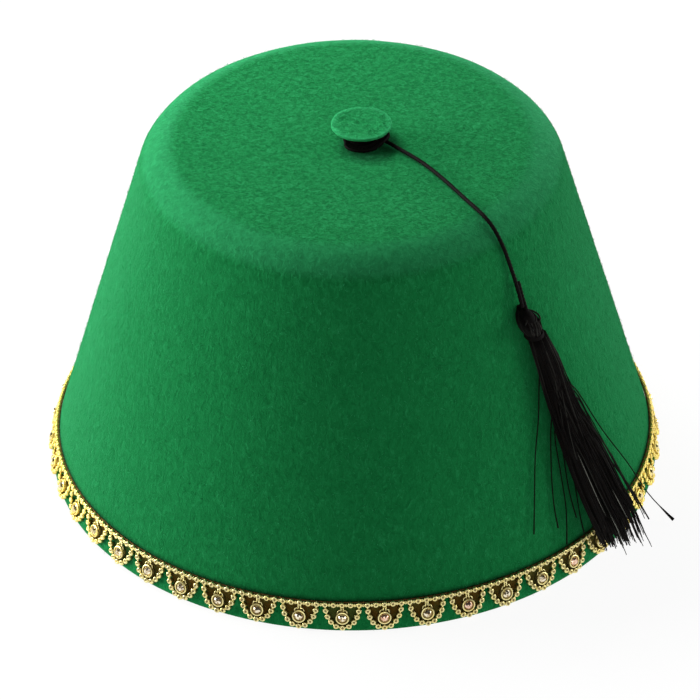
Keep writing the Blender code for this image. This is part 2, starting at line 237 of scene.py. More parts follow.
# The hook beside each of a setting's two stems: how far across and up its points are, in millimetres
HOOK_MM = ((0.35, 6.9), (0.75, 7.2), (1.15, 7.05), (1.35, 6.6), (1.45, 6.1))
HOOK_RADIUS = 0.2 * MM
HOOK_OUT = 0.25 * MM
SETTING_STEM_RADIUS = 0.28 * MM
SETTING_STEM_ASIDE = 0.34 * MM
SETTING_STEM_OUT = 0.1 * MM
# How far the dark cord behind the top line, which is a painted shadow of the line on the felt, is above it,
# and further in
SHADOW_CORD_UP = 0.66 * MM
SHADOW_CORD_IN = 0.50 * MM
ROSY_SHARE = 0.10

# Seeds of the random draws
FIBRE_SEED = 11
THREAD_SEED = 5
TRIM_SEED = 23

# Camera and lights
CAMERA_TILT = 0.6286
CAMERA_ROLL = -0.0094
CAMERA_AIM = Vector((-1.11, 0.0, 35.36)) * MM
CAMERA_DISTANCE = 1.6
CAMERA_LENS = 264.44
SENSOR_WIDTH = 36.0
# A row for each soft light: the setting with its power, its place and its size
LIGHTS = (
    ("near_back", (-0.14, 0.165, 0.38), 0.22),
    ("left", (-1.56, 0.22, 0.3), 0.8),
    ("right", (1.6, 0.1, 0.3), 0.8),
    ("far_right", (1.3, 1.1, 0.8), 1.2),
    ("front", (0.0, -1.7, 0.4), 0.8),
    ("card", (0.0, -1.8, 1.5), 2.2),
)


# Places on the outer skin of the wall

def wall_radius(height):
    return RIM_RADIUS - height * math.tan(TAPER)


def wall_outwards(azimuth):
    return Vector((math.cos(TAPER) * math.cos(azimuth), math.cos(TAPER) * math.sin(azimuth), math.sin(TAPER)))


def wall_sideways(azimuth):
    return Vector((-math.sin(azimuth), math.cos(azimuth), 0.0))


def on_wall(azimuth, height, lift):
    radius = wall_radius(height) + lift / math.cos(TAPER)
    return Vector((radius * math.cos(azimuth), radius * math.sin(azimuth), height))


def shares(steps):
    """Even steps from 0 to 1."""
    return [step / steps for step in range(steps + 1)]


def held(value, low=0.0, high=1.0):
    """The value kept between low and high."""
    return min(high, max(low, value))


def smooth_path(points, spacing):
    """Points about as far apart as spacing on a smooth curve through the given ones."""
    last = len(points) - 1
    path = []
    for i in range(last):
        a, b, c, d = (points[max(i - 1, 0)], points[i], points[i + 1], points[min(i + 2, last)])
        steps = max(1, round((c - b).length / spacing))
        for step in range(steps):
            share = step / steps
            bend = 2 * a - 5 * b + 4 * c - d
            twist = 3 * b - a - 3 * c + d
            path.append(0.5 * (2 * b + (c - a) * share + bend * share ** 2 + twist * share ** 3))
    path.append(points[last].copy())
    return path


def cord_route(points):
    """The fine path of a cord through points in millimetres."""
    return smooth_path([Vector(point) * MM for point in points], CORD_STEP)


def row_at(rows, share):
    """The row of a table at a share of the way through it, between its own rows."""
    for upper, lower in zip(rows, rows[1:]):
        if share <= lower[0]:
            part = max(0.0, (share - upper[0]) / (lower[0] - upper[0]))
            return [a + (b - a) * part for a, b in zip(upper, lower)]
    return list(rows[-1])


# Modelling

def only(item):
    """Makes the item the active one and the only one that is selected."""
    bpy.ops.object.select_all(action="DESELECT")
    item.select_set(True)
    bpy.context.view_layer.objects.active = item


def added(name, add, **settings):
    """A primitive that the operator adds, with its place and size in its mesh."""
    bpy.ops.object.select_all(action="DESELECT")
    add(**settings)
    item = bpy.context.object
    item.name = name
    only(item)
    bpy.ops.object.transform_apply(location=True, rotation=True, scale=True)
    return item


@contextmanager
def editing(item):
    only(item)
    bpy.ops.object.mode_set(mode="EDIT")
    yield
    bpy.ops.object.mode_set(mode="OBJECT")


def pick(kind, test):
    """Selects what passes the test, in edit mode: kind is VERT, EDGE or FACE."""
    bpy.ops.mesh.select_mode(type=kind)
    bpy.ops.mesh.select_all(action="DESELECT")
    mesh = bpy.context.object.data
    shape = bmesh.from_edit_mesh(mesh)
    for part in {"VERT": shape.verts, "EDGE": shape.edges, "FACE": shape.faces}[kind]:
        if test(part):
            part.select_set(True)
    shape.select_flush(True)
    bmesh.update_edit_mesh(mesh)


def flat_top(face):
    """Whether a face is a cap that looks straight up."""
    return face.normal.z > 0.99 and len(face.verts) > 4


def in_upper_half(edge):
    return all(vert.co.z > 0.0 for vert in edge.verts)


def modified(item, kind, **settings):
    """Adds a modifier to the item and applies it."""
    only(item)
    modifier = item.modifiers.new(kind.title(), kind)
    for name, value in settings.items():
        setattr(modifier, name, value)
    bpy.ops.object.modifier_apply(modifier=modifier.name)


def copied(item, place):
    """A copy with a mesh of its own, moved by the matrix."""
    mesh = item.data.copy()
    mesh.transform(place)
    twin = bpy.data.objects.new(item.name + "_copy", mesh)
    bpy.context.scene.collection.objects.link(twin)
    return twin


def joined(name, items):
    """All the items as one object."""
    bpy.ops.object.select_all(action="DESELECT")
    for item in items:
        item.select_set(True)
    bpy.context.view_layer.objects.active = items[0]
    if len(items) > 1:
        bpy.ops.object.join()
    items[0].name = name
    return items[0]


def set_attribute(item, name, values, domain="POINT"):
    """A number for each vertex or face of the item, which a material can read."""
    layer = item.data.attributes.new(name, "FLOAT", domain)
    layer.data.foreach_set("value", values)


def meshed(name, places, faces):
    """An object of these vertices and faces, with its faces turned outwards."""
    mesh = bpy.data.meshes.new(name)
    mesh.from_pydata(places, [], faces)
    item = bpy.data.objects.new(name, mesh)
    bpy.context.scene.collection.objects.link(item)
    with editing(item):
        bpy.ops.mesh.select_all(action="SELECT")
        bpy.ops.mesh.normals_make_consistent(inside=False)
    return item


def skinned(name, tubes):
    """One smooth mesh of closed tubes. A tube is a list of rings, and a ring is a list of points."""
    places, faces = [], []
    for rings in tubes:
        start = len(places)
        sides = len(rings[0])
        for ring in rings:
            places.extend(ring)
        for low in range(start, len(places) - sides, sides):
            for corner in range(sides):
                beside = (corner + 1) % sides
                faces.append((low + corner, low + beside, low + beside + sides, low + corner + sides))
        faces.append(tuple(reversed(range(start, start + sides))))
        faces.append(tuple(range(len(places) - sides, len(places))))
    item = meshed(name, places, faces)
    bpy.ops.object.shade_smooth()
    return item


def direction_at(path, i):
    return (path[min(i + 1, len(path) - 1)] - path[max(i - 1, 0)]).normalized()


def ring_at(point, run, side, radii):
    """Points round the given one, square to the run and each its radius away. The first is on that side."""
    top = side.cross(run)
    ring = []
    for corner, radius in enumerate(radii):
        turn = math.tau * corner / len(radii)
        ring.append(point + radius * (side * math.cos(turn) + top * math.sin(turn)))
    return ring


def threaded(name, threads, sides):
    """One mesh of threads. A thread is (points, radii, tone)."""
    tubes, tones = [], []
    for points, radii, tone in threads:
        rings = []
        for i, (point, radius) in enumerate(zip(points, radii)):
            run = direction_at(points, i)
            away = Vector((point.x, point.y, 0.0 if abs(run.z) > 0.9 else RIM_RADIUS))
            side = run.cross(away).normalized()
            rings.append(ring_at(point, run, side, [radius] * sides))
        tubes.append(rings)
        tones += [tone] * sides * len(rings)
    item = skinned(name, tubes)
    set_attribute(item, "tone", tones)
    return item


def finished(item, material, slot, *nodes):
    """Gives a piece its finish, lets it ride on the hat and stand for its nodes in the frame."""
    item.data.materials.clear()
    item.data.materials.append(material)
    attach(item, "root")
    if nodes:
        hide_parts(*nodes)


# Shading

class Sum:
    """A node's output that sums can be written with: each sum adds a Math node."""

    def __init__(self, shading, output):
        self.shading = shading
        self.output = output

    def __add__(self, other):
        return self.shading.math("ADD", self, other)

    __radd__ = __add__

    def __sub__(self, other):
        return self.shading.math("SUBTRACT", self, other)

    def __rsub__(self, other):
        return self.shading.math("SUBTRACT", other, self)

    def __mul__(self, other):
        return self.shading.math("MULTIPLY", self, other)

    __rmul__ = __mul__

    def __truediv__(self, other):
        return self.shading.math("DIVIDE", self, other)

    def __pow__(self, other):
        return self.shading.math("POWER", self, other)

    def within(self, low, high):
        """Grows from 0 at low to 1 at high, with soft ends."""
        settings = {"interpolation_type": "SMOOTHSTEP"}
        return self.shading.add("ShaderNodeMapRange", settings, {0: self, 1: low, 2: high})


class Shading:
    """The nodes of one material."""

    def __init__(self, name, **constants):
        self.material = bpy.data.materials.new(name)
        self.material.use_nodes = True
        self.tree = self.material.node_tree
        self.surface = self.tree.nodes["Principled BSDF"]
        for socket, value in constants.items():
            self.put(self.surface.inputs[socket.replace("_", " ")], value)

    def add(self, kind, settings, sockets, output=0):
        """A node, with its settings first and then the values or links of its sockets."""
        node = self.tree.nodes.new(kind)
        for name, setting in settings.items():
            setattr(node, name, setting)
        for place, value in sockets.items():
            self.put(node.inputs[place], value)
        return Sum(self, node.outputs[output])

    def put(self, socket, value):
        if isinstance(value, Sum):
            self.tree.links.new(value.output, socket)
        elif socket.type == "RGBA":
            socket.default_value = (*value[:3], 1.0)
        else:
            socket.default_value = value

    def finish(self, **sockets):
        """Links the surface's sockets, and gives its material."""
        for name, value in sockets.items():
            self.put(self.surface.inputs[name.replace("_", " ")], value)
        return self.material

    def math(self, operation, *values):
        return self.add("ShaderNodeMath", {"operation": operation}, dict(enumerate(values)))

    def vector_math(self, operation, sockets):
        return self.add("ShaderNodeVectorMath", {"operation": operation}, sockets)

    def place(self, stretch=(1.0, 1.0, 1.0)):
        """Object coordinates in millimetres, each axis times its stretch."""
        coordinates = self.add("ShaderNodeTexCoord", {}, {}, "Object")
        factors = tuple(share / MM for share in stretch)
        return self.vector_math("MULTIPLY", {0: coordinates, 1: factors})

    def axes(self, vector):
        """The X, Y and Z of a vector."""
        node = self.tree.nodes.new("ShaderNodeSeparateXYZ")
        self.put(node.inputs[0], vector)
        return [Sum(self, output) for output in node.outputs]

    def noise(self, vector, scale, detail=3.0, roughness=0.6, distortion=0.0):
        sockets = {
            "Vector": vector,
            "Scale": scale,
            "Detail": detail,
            "Roughness": roughness,
            "Distortion": distortion,
        }
        return self.add("ShaderNodeTexNoise", {}, sockets, "Fac")

    def attribute(self, name):
        return self.add("ShaderNodeAttribute", {"attribute_name": name}, {}, "Fac")

    def mix(self, share, first, second):
        return self.add("ShaderNodeMix", {"data_type": "RGBA"}, {0: share, 6: first, 7: second}, 2)

    def bump(self, height, distance, strength=1.0):
        sockets = {"Strength": strength, "Distance": distance, "Height": height}
        return self.add("ShaderNodeBump", {}, sockets, "Normal")


def from_axis(x, y):
    return (x ** 2.0 + y ** 2.0) ** 0.5


def felt_colour(shading, felt):
    """Fibre colours, and the height of the fibres."""
    streaks = shading.place((1.0, 1.0, 0.45))
    even = shading.place()
    fleck = shading.noise(streaks, MM / felt.fleck_size, 4.0, 0.62, 0.9)
    fibre = shading.noise(streaks, 2.6 * MM / felt.fleck_size, 3.0, 0.65, 1.6)
    cloud = shading.noise(even, 0.05, 2.0, 0.5)
    on_top = shading.axes(even)[2].within((CROWN_HEIGHT - CORNER_RADIUS) / MM, CROWN_HEIGHT / MM)
    grain = fleck * 0.65 + fibre * 0.35
    contrast = on_top * felt.top_contrast + felt.wall_contrast
    light = ((grain - 0.5) * contrast + on_top * 0.06 + 0.5).within(0.0, 1.0)
    colour = shading.mix(light * 0.85 + cloud * 0.15, felt.deep_colour, felt.colour)
    raised = fleck.within(0.54, 0.72) * fibre.within(0.42, 0.62) * (on_top * 0.6 + 0.4)
    colour = shading.mix(raised * felt.fleck_strength, colour, felt.pale_colour)
    return colour, fleck * 0.6 + fibre * 0.4


def felt_shading(name, felt):
    return Shading(
        name,
        Roughness=0.92,
        Sheen_Weight=felt.sheen,
        Sheen_Roughness=0.4,
        Sheen_Tint=felt.sheen_colour,
        Specular_IOR_Level=0.0,
    )


def swag_darkening(shading, azimuth, up):
    """How far the felt is made dark brown: only inside the swags, and in some less than in others."""
    swags = (azimuth - FIRST_SWAG_AZIMUTH) / (math.tau / SWAG_COUNT) + 0.5 + SWAG_COUNT
    number = shading.math("FLOOR", swags)
    across = (swags - number - 0.5) * (PITCH / MM)
    down = TOP_LINE_UP / MM - up
    inside = (across / (SWAG_WIDTH / 2 / MM)) ** 2.0 + (down / (SWAG_DEPTH / MM)) ** 2.0
    uneven = shading.noise(shading.place(), 0.35, 2.0) - 0.5
    patch = 1.0 - (inside + uneven * 0.5).within(0.72, 1.06)
    below_line = down.within(-0.6, 0.3)
    draw = shading.add("ShaderNodeTexWhiteNoise", {"noise_dimensions": "1D"}, {"W": number}, "Value")
    strength = draw.within(0.10, 0.22) * 0.75 + 0.2
    return patch * below_line * (strength + uneven * 0.6)


def crown_felt(felt):
    """Felt with a painted highlight round the top's corner, dark brown inside the swags, and a painted shadow
    just above the trim.
    """
    shading = felt_shading("green_felt_crown", felt)
    colour, height = felt_colour(shading, felt)
    x, y, z = shading.axes(shading.place())
    up = z / math.cos(TAPER)
    radius = from_axis(x, y)
    # Painted highlight: the felt is made paler in a ring round the top's corner, where the light falls on it
    corner = radius.within(TOP_RADIUS / MM - 10.0, TOP_RADIUS / MM - 5.0) * z.within(106.0, 109.5)
    colour = shading.mix(corner * felt.corner_highlight, colour, felt.pale_colour)
    swag_brown = swag_darkening(shading, shading.math("ARCTAN2", y, x), up)
    colour = shading.mix(swag_brown, colour, felt.swag_brown_colour)
    # Painted shadow: a dark band on the felt just above the trim's top line
    above_line = up - TOP_LINE_UP / MM
    line = above_line.within(-0.2, 0.3) - above_line.within(0.5, 2.6)
    colour = shading.mix(line * 0.7, colour, felt.painted_shadow_colour)
    return shading.finish(Base_Color=colour, Normal=shading.bump(height, felt.fibre_relief))


def button_felt(felt):
    """Felt with a painted highlight round its cut edge, and a little paler all over."""
    shading = felt_shading("green_felt_button", felt)
    colour, height = felt_colour(shading, felt)
    x, y, z = shading.axes(shading.place())
    radius = from_axis(x - BUTTON_OFFSET / MM, y)
    uneven = shading.noise(shading.place(), 0.4, 2.0)
    # Painted highlight: the felt is made paler round the cut edge of the top face
    edge = (radius + uneven * 1.6).within(BUTTON_RADIUS / MM - 1.4, BUTTON_RADIUS / MM + 0.6)
    high = z.within((BUTTON_TOP - BUTTON_THICKNESS) / MM - 0.5, BUTTON_TOP / MM)
    colour = shading.mix(edge * high * 0.20 + 0.08, colour, felt.pale_colour)
    colour = shading.vector_math("SCALE", {0: colour, "Scale": felt.button_tone})
    return shading.finish(Base_Color=colour, Normal=shading.bump(height, felt.fibre_relief))


def fuzz_felt(felt):
    """Loose fibres: each has its own tone between the felt's colours."""
    shading = felt_shading("green_felt_fibre", felt)
    tone = shading.attribute("tone")
    colour = shading.mix(tone, felt.colour, felt.pale_colour)
    return shading.finish(Base_Color=colour)


def black_thread(name, cord, grain):
    """Black satin thread with a brown cast. A thread's tone makes it greyer, as a random tone or as a painted
    highlight.
    """
    shading = Shading(name, Specular_IOR_Level=0.06)
    wisp = shading.noise(shading.place((1.0, 1.0, 0.25)), grain, 3.0)
    tone = shading.attribute("tone")
    colour = shading.mix(wisp.within(0.35, 0.7), cord.colour, cord.brown_colour)
    colour = shading.mix(tone, colour, cord.grey_and_highlight_colour)
    roughness = wisp * 0.25 + cord.roughness
    normal = shading.bump(wisp, 0.05 * MM, 0.5)
    return shading.finish(Base_Color=colour, Roughness=roughness, Normal=normal)


def gilt_metal(trim):
    """Pale gilt with brown painted shade in its hollows, on the dark cord and close to the felt, and a
    painted yellow reflection at the hat's sides.
    """
    shading = Shading("gilt_metal", Metallic=1.0, Specular_IOR_Level=0.5)
    x, y, z = shading.axes(shading.place())
    off_wall = (from_axis(x, y) + z * math.tan(TAPER) - RIM_RADIUS / MM) * math.cos(TAPER)
    # Painted shade: the metal close to the felt is made browner
    low = 1.0 - off_wall.within(0.3, 1.25)
    hollow = shading.attribute("hollow")
    patchy = shading.noise(shading.place(), 0.55, 3.0)
    # Painted reflection: the metal is made yellower towards the hat's sides
    side = (shading.math("ABSOLUTE", x) / (RIM_RADIUS / MM)).within(0.70, 0.98)
    metal = shading.mix(side, trim.gilt_colour, trim.yellow_and_side_reflection_colour)
    metal = shading.mix(patchy.within(0.45, 0.75) * 0.5, metal, trim.yellow_and_side_reflection_colour)
    # Painted shade in the hollows, on the dark cord and close to the felt, less towards the sides where the
    # metal looks brighter
    painted_shade = shading.math("MAXIMUM", hollow, low * 0.8) * (1.0 - side * 0.5)
    painted_shade = shading.math("MAXIMUM", painted_shade, hollow.within(0.9, 1.0))
    colour = shading.mix(painted_shade, metal, trim.hollow_shade_colour)
    roughness = patchy * 0.2 + trim.roughness + painted_shade * 0.25
    normal = shading.bump(shading.noise(shading.place(), 5.0, 2.0), 0.03 * MM, 0.6)
    return shading.finish(Base_Color=colour, Roughness=roughness, Normal=normal)


def cut_stone(trim):
    """A foil-backed stone: every facet has its own painted glint, the sides have a painted yellow reflection,
    and a few stones are rosy.
    """
    shading = Shading("cut_stone", Metallic=0.9, Coat_Weight=1.0, Coat_Roughness=0.02)
    # Painted glint: each facet is given its own tone between dark and bright
    glint = shading.attribute("glint")
    rosy = shading.attribute("rosy")
    colour = shading.mix(glint.within(0.15, 0.75), trim.stone_deep_colour, trim.stone_colour)
    colour = shading.mix(rosy * 0.5, colour, trim.rosy_colour)
    cloudy = shading.noise(shading.place(), 2.0, 2.0)
    # Painted reflection: the stones are made yellower towards the hat's sides
    side = (shading.axes(shading.place())[0] / (RIM_RADIUS / MM)) ** 2.0
    colour = shading.mix(side.within(0.45, 0.95) * 0.7, colour, trim.yellow_and_side_reflection_colour)
    return shading.finish(Base_Color=colour, Roughness=cloudy * 0.12 + 0.03)


def pale_floor(stage):
    """A floor that glows, so that only a faint shadow is seen on it."""
    shading = Shading("pale_floor", Specular_IOR_Level=0.0, Emission_Strength=stage.floor_glow)
    grain = shading.noise(shading.place(), 0.4, 3.0)
    darker = [channel * 0.985 for channel in stage.floor_colour]
    colour = shading.mix(grain, darker, stage.floor_colour)
    return shading.finish(Base_Color=colour, Emission_Color=(1.0, 1.0, 1.0))


# Settings

def colour_setting(name, description, default):
    return bpy.props.FloatVectorProperty(
        name=name, description=description, subtype="COLOR", size=3, min=0.0, max=1.0, default=default
    )


def length_setting(name, description, default):
    return bpy.props.FloatProperty(
        name=name, description=description, unit="LENGTH", min=0.0, precision=5, default=default
    )


def share_setting(name, description, default):
    return bpy.props.FloatProperty(
        name=name, description=description, subtype="FACTOR", min=0.0, max=1.0, default=default
    )


def factor_setting(name, description, default):
    return bpy.props.FloatProperty(name=name, description=description, min=0.0, soft_max=5.0, default=default)


def power_setting(name, description, default):
    return bpy.props.FloatProperty(name=name, description=description, unit="POWER", min=0.0, default=default)


def count_setting(name, description, default):
    return bpy.props.IntProperty(name=name, description=description, min=1, default=default)


class FezFelt(bpy.types.PropertyGroup):
    """Felt of the crown and the button."""

    colour: colour_setting("Felt", "Colour of the felt's upper fibres", (0.0125, 0.235, 0.063))
    deep_colour: colour_setting("Depths", "Colour between the fibres", (0.0035, 0.118, 0.027))
    pale_colour: colour_setting("Fuzz", "Colour of loose and raised fibres", (0.050, 0.42, 0.175))
    sheen_colour: colour_setting("Sheen colour", "Colour of the light that glances off", (0.18, 0.80, 0.42))
    swag_brown_colour: colour_setting("Swag brown", "Colour of the felt inside the swags", (0.125, 0.065, 0.010))
    # Colour of the painted shadow just above the trim
    painted_shadow_colour: colour_setting("Shade", "Colour of the felt just above the trim", (0.004, 0.020, 0.006))
    fleck_size: length_setting("Fleck size", "Size of a fleck in the felt", 1.5 * MM)
    fleck_strength: share_setting("Flecks", "How pale the raised flecks are", 0.45)
    wall_contrast: factor_setting("Wall contrast", "How much the felt's grain shows on the wall", 1.7)
    top_contrast: factor_setting("Top contrast", "How much more it shows on the top", 3.2)
    # Painted highlight: how much paler the felt is made round the corner of the top
    corner_highlight: share_setting("Corner highlight", "How pale the felt is round the corner of the top", 0.26)
    button_tone: factor_setting("Button tone", "How bright the button's felt is beside the crown's", 1.25)
    fibre_relief: length_setting("Relief", "How far the fibres stand out", 0.52 * MM)
    sheen: share_setting("Sheen", "How much light the fibres catch at a glancing angle", 0.45)
    fuzz_count: count_setting("Loose fibres", "How many loose fibres stand on the felt", 26000)
    fuzz_length: length_setting("Fibre length", "Length of a loose fibre", 1.3 * MM)
    fuzz_width: length_setting("Fibre width", "Width of a loose fibre at its root", 0.075 * MM)


class FezCord(bpy.types.PropertyGroup):
    """Black cord and the tassel's threads."""

    colour: colour_setting("Black", "Colour of the thread", (0.0022, 0.0020, 0.0021))
    brown_colour: colour_setting("Brown cast", "Colour of the worn thread", (0.0060, 0.0034, 0.0024))
    grey_and_highlight_colour: colour_setting("Grey", "Colour of the few threads that catch the light", (0.26, 0.27, 0.23))
    roughness: share_setting("Roughness", "Roughness of the thread", 0.48)
    twist_length: length_setting("Twist", "Length of cord in which its strands turn once", 3.6 * MM)
    thread_count: count_setting("Threads", "Number of threads in the tassel's skirt", 1150)
    thread_width: length_setting("Thread width", "Width of one thread", 0.36 * MM)


class FezTrim(bpy.types.PropertyGroup):
    """Gilt beads, settings and stones."""

    gilt_colour: colour_setting("Gilt", "Colour of the metal at the front", (0.84, 0.75, 0.35))
    # Colour of the painted reflection at the hat's sides, and of the metal's yellow patches
    yellow_and_side_reflection_colour: colour_setting("Yellow gilt", "Colour of the metal at the sides", (1.0, 0.79, 0.20))
    # Colour of the painted shade in the metal's hollows, on the dark cord and close to the felt
    hollow_shade_colour: colour_setting("Hollows", "Colour of the metal's hollows", (0.130, 0.075, 0.023))
    roughness: share_setting("Roughness", "Roughness of the metal", 0.22)
    bead_radius: length_setting("Bead radius", "Outer radius of a bead", 0.90 * MM)
    link_radius: length_setting("Link radius", "Radius of the small beads of the top line", 0.58 * MM)
    wire_radius: length_setting("Wire radius", "Radius of the wire through the beads", 0.33 * MM)
    # The dark cord is a painted shadow of the top line on the felt
    shadow_cord_radius: length_setting("Shadow cord radius", "Radius of the dark cord behind the top line", 0.24 * MM)
    stone_colour: colour_setting("Stone", "Colour of a stone's bright facets", (1.0, 0.91, 0.68))
    stone_deep_colour: colour_setting("Stone depths", "Colour of its dark facets", (0.40, 0.27, 0.12))
    rosy_colour: colour_setting("Rosy stone", "Cast of the rosy stones", (0.90, 0.42, 0.30))


class FezStage(bpy.types.PropertyGroup):
    """Floor and lights."""

    floor_colour: colour_setting("Floor", "Colour of the floor", (0.13, 0.13, 0.13))
    floor_glow: share_setting("Floor glow", "How much the floor shines by itself", 0.925)
    sky: share_setting("Sky", "Strength of the light all round", 0.04)
    near_back: power_setting("Near back", "Power of the near light behind, at the left", 1.5)
    left: power_setting("Left", "Power of the low light at the left", 36.0)
    right: power_setting("Right", "Power of the low light at the right", 12.0)
    far_right: power_setting("Far right", "Power of the light behind, at the right", 7.2)
    front: power_setting("Front", "Power of the low light at the front", 3.0)
    card: power_setting("Card", "Power of the card at the front, which only gloss shows", 10.0)


# Crown and button

def roughened(item, size, height):
    """Gives a piece of felt its slight unevenness: how wide its bumps are, and how high."""
    texture = bpy.data.textures.new("felt_unevenness", "CLOUDS")
    texture.noise_scale = size
    modified(item, "DISPLACE", texture=texture, texture_coords="LOCAL", strength=height, mid_level=0.5)


def top_edge(edge):
    return all(abs(vert.co.z - CROWN_HEIGHT) < 0.01 * MM for vert in edge.verts)


def cut_edge(edge):
    """Whether an edge is one of the two sharp ones of the felt's cut rim."""
    return all(vert.co.z < 0.6 * MM for vert in edge.verts) and edge.calc_face_angle() > 0.9


def disc_rim(edge):
    """Whether an edge is between a face of the disc and its side."""
    return len({abs(face.normal.z) > 0.5 for face in edge.link_faces}) > 1


class FEZ_OT_crown(bpy.types.Operator):
    """Models the felt crown: a hollow cone with a flat, round-cornered top"""

    bl_idname = "fez.crown"
    bl_label = "Crown"

    def execute(self, context):
        felt = context.scene.fez_felt
        crown = added(
            "felt_crown",
            bpy.ops.mesh.primitive_cone_add,
            vertices=192,
            radius1=RIM_RADIUS,
            radius2=TOP_RADIUS,
            depth=CROWN_HEIGHT,
            location=(0.0, 0.0, CROWN_HEIGHT / 2),
        )
        with editing(crown):
            pick("FACE", lambda face: face.normal.z < -0.9)
            bpy.ops.mesh.delete(type="FACE")
            pick("EDGE", top_edge)
            bpy.ops.mesh.bevel(offset=CORNER_INSET, segments=12, profile=0.5, affect="EDGES")
            pick("FACE", flat_top)
            for _ in range(6):
                bpy.ops.mesh.inset(thickness=TOP_RING_WIDTH)
            bpy.ops.mesh.poke()
            for level in range(1, 12):
                bpy.ops.mesh.select_all(action="SELECT")
                bpy.ops.mesh.bisect(plane_co=UP * level * WALL_RING_HEIGHT, plane_no=UP)
        roughened(crown, 0.022, 0.35 * MM)
        modified(crown, "SOLIDIFY", thickness=FELT_THICKNESS, offset=-1.0, use_even_offset=True)
        for vert in crown.data.vertices:
            vert.co.z = max(vert.co.z, 0.0)
        with editing(crown):
            pick("EDGE", cut_edge)
            bpy.ops.mesh.bevel(offset=0.5 * MM, segments=2, profile=0.5, affect="EDGES")
        bpy.ops.object.shade_smooth_by_angle(angle=math.radians(50))
        finished(crown, crown_felt(felt), "felt", "crown")
        return {"FINISHED"}


class FEZ_OT_button(bpy.types.Operator):
    """Models the felt button on its stem"""

    bl_idname = "fez.button"
    bl_label = "Button"

    def execute(self, context):
        felt = context.scene.fez_felt
        button = added(
            "felt_button",
            bpy.ops.mesh.primitive_cylinder_add,
            vertices=72,
            radius=BUTTON_RADIUS,
            depth=BUTTON_THICKNESS,
            location=(BUTTON_OFFSET, 0.0, BUTTON_TOP - BUTTON_THICKNESS / 2),
            rotation=(-BUTTON_TILT, 0.0, 0.0),
        )
        edge_radius = BUTTON_THICKNESS / 2
        with editing(button):
            pick("EDGE", disc_rim)
            bpy.ops.mesh.bevel(offset=edge_radius, segments=4, profile=0.5, affect="EDGES")
            pick("FACE", lambda face: face.normal.z < -0.99 and len(face.verts) > 4)
            bpy.ops.mesh.inset(thickness=BUTTON_RADIUS - edge_radius - STEM_RADIUS)
            bpy.ops.mesh.extrude_region_move(TRANSFORM_OT_translate={"value": (0.0, 0.0, -STEM_HEIGHT)})
            pick("FACE", flat_top)
            for lift in (0.10, 0.06, 0.03, 0.0):
                bpy.ops.mesh.inset(thickness=1.9 * MM)
                bpy.ops.transform.translate(value=(0.0, 0.0, -lift * MM))
            bpy.ops.mesh.poke()
        roughened(button, 0.006, 0.5 * MM)
        bpy.ops.object.shade_smooth_by_angle(angle=math.radians(60))
        finished(button, button_felt(felt), "felt", "button")
        return {"FINISHED"}


def felt_place(rng):
    """A random point of the felt's outer skin with the direction away from it."""
    flat_radius = TOP_RADIUS - CORNER_INSET
    top_area = math.pi * TOP_RADIUS ** 2
    wall_area = math.pi * (TOP_RADIUS + RIM_RADIUS) * CROWN_HEIGHT / math.cos(TAPER)
    azimuth = rng.uniform(0.0, math.tau)
    if rng.random() < top_area / (top_area + wall_area):
        radius = TOP_RADIUS * math.sqrt(rng.random())
        around = Vector((math.cos(azimuth), math.sin(azimuth), 0.0))
        if radius < flat_radius:
            return around * radius + UP * CROWN_HEIGHT, UP
        turn = (math.pi / 2 - TAPER) * (radius - flat_radius) / CORNER_INSET
        centre = around * flat_radius + UP * (CROWN_HEIGHT - CORNER_RADIUS)
        away = around * math.sin(turn) + UP * math.cos(turn)
        return centre + away * CORNER_RADIUS, away
    start_of_corner = CROWN_HEIGHT - CORNER_RADIUS * (1 - math.sin(TAPER))
    while True:
        height = rng.uniform(0.3 * MM, start_of_corner)
        if rng.random() < wall_radius(height) / RIM_RADIUS:
            break
    return on_wall(azimuth, height, 0.0), wall_outwards(azimuth)


def needles(name, places, length, width, rng):
    """Closed three-sided needles that lie over to one side, as loose fibres do."""
    points, faces, tones = [], [], []
    for foot, away in places:
        side = away.orthogonal().normalized()
        side.rotate(Matrix.Rotation(rng.uniform(0.0, math.tau), 3, away))
        run = (side + away * rng.uniform(0.10, 0.75)).normalized()
        across = run.cross(away).normalized()
        start = len(points)
        foot = foot - away * 0.06 * MM
        half = width / 2
        points += [foot - across * half, foot + across * half, foot + away * width]
        tip = foot + run * length * rng.uniform(0.5, 1.3)
        points.append(Vector((tip.x, tip.y, max(tip.z, 0.0))))
        faces += [(start, start + 2, start + 1), (start, start + 1, start + 3)]
        faces += [(start + 1, start + 2, start + 3), (start + 2, start, start + 3)]
        tones += [rng.random() ** 2.5] * 4
    item = meshed(name, points, faces)
    set_attribute(item, "tone", tones)
    return item


class FEZ_OT_fuzz(bpy.types.Operator):
    """Scatters loose fibres over the felt"""

    bl_idname = "fez.fuzz"
    bl_label = "Loose fibres"

    def execute(self, context):
        felt = context.scene.fez_felt
        rng = random.Random(FIBRE_SEED)
        places = [felt_place(rng) for _ in range(felt.fuzz_count)]
        for _ in range(BUTTON_FIBRES):
            spot = in_disc(rng, BUTTON_RADIUS - 0.7 * MM)
            places.append((Vector((BUTTON_OFFSET + spot.x, spot.y, BUTTON_TOP)), UP))
        fuzz = needles("felt_fibres", places, felt.fuzz_length, felt.fuzz_width, rng)
        finished(fuzz, fuzz_felt(felt), "felt")
        return {"FINISHED"}


# Cord

